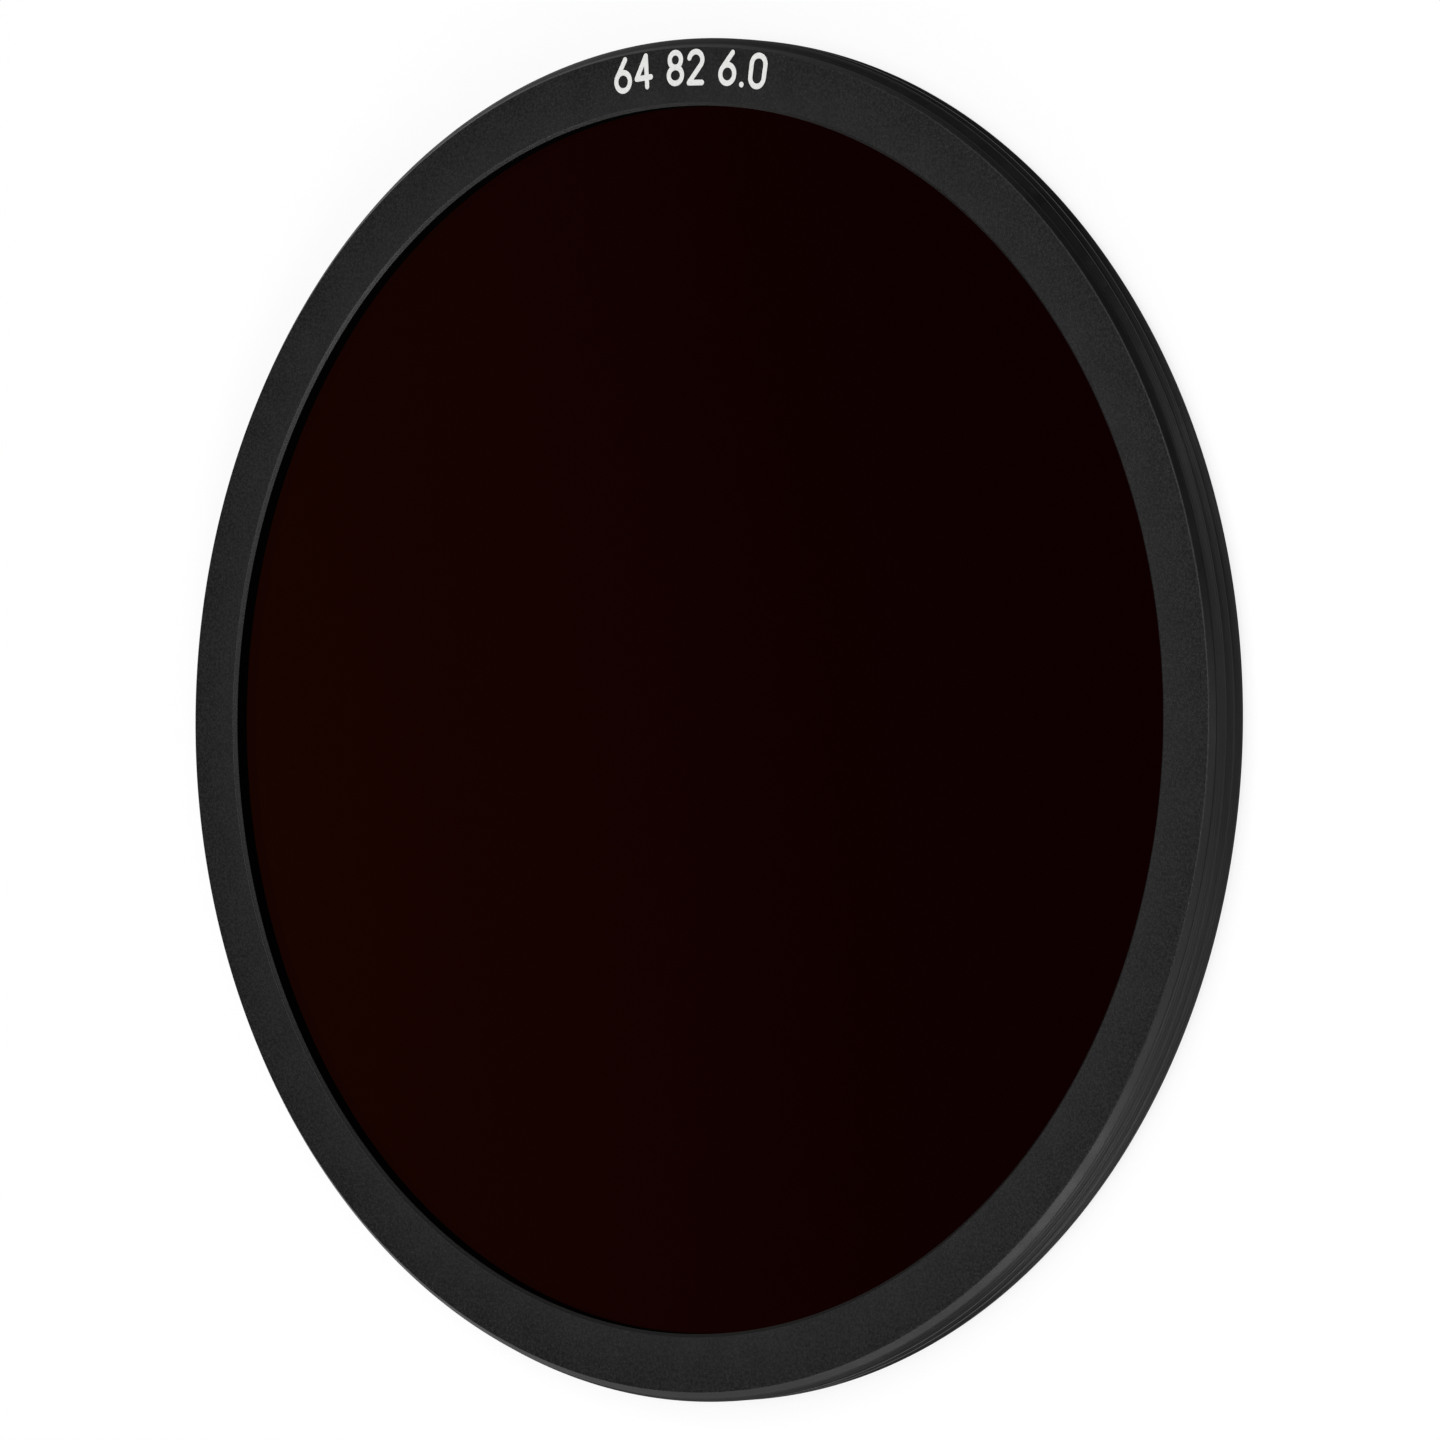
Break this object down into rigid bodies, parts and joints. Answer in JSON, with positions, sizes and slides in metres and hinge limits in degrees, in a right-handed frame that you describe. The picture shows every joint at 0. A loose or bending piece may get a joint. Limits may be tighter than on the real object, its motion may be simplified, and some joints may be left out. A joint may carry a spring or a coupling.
{
  "type": "neutral density filter",
  "caption": "Thin round screw-in neutral density lens filter: dark glass disc in a black anodised ring with an external thread.",
  "frame": {"origin": "centre of the rear face, the end that screws into a lens", "axes": "+Z along the optical axis, out of the front face; +Y towards the marking on the front face"},
  "size_m": [0.082, 0.082, 0.0029],
  "materials": {
    "anodised_ring": "satin black anodised",
    "nd_glass": "polished, coated",
    "anodised_retainer": "matt black anodised",
    "marking_fill": "matt white engraving fill"
  },
  "bodies": {
    "root": {"filter_ring": "anodised_ring", "nd_glass": "nd_glass", "retaining_ring": "anodised_retainer"}
  },
  "joints": []
}
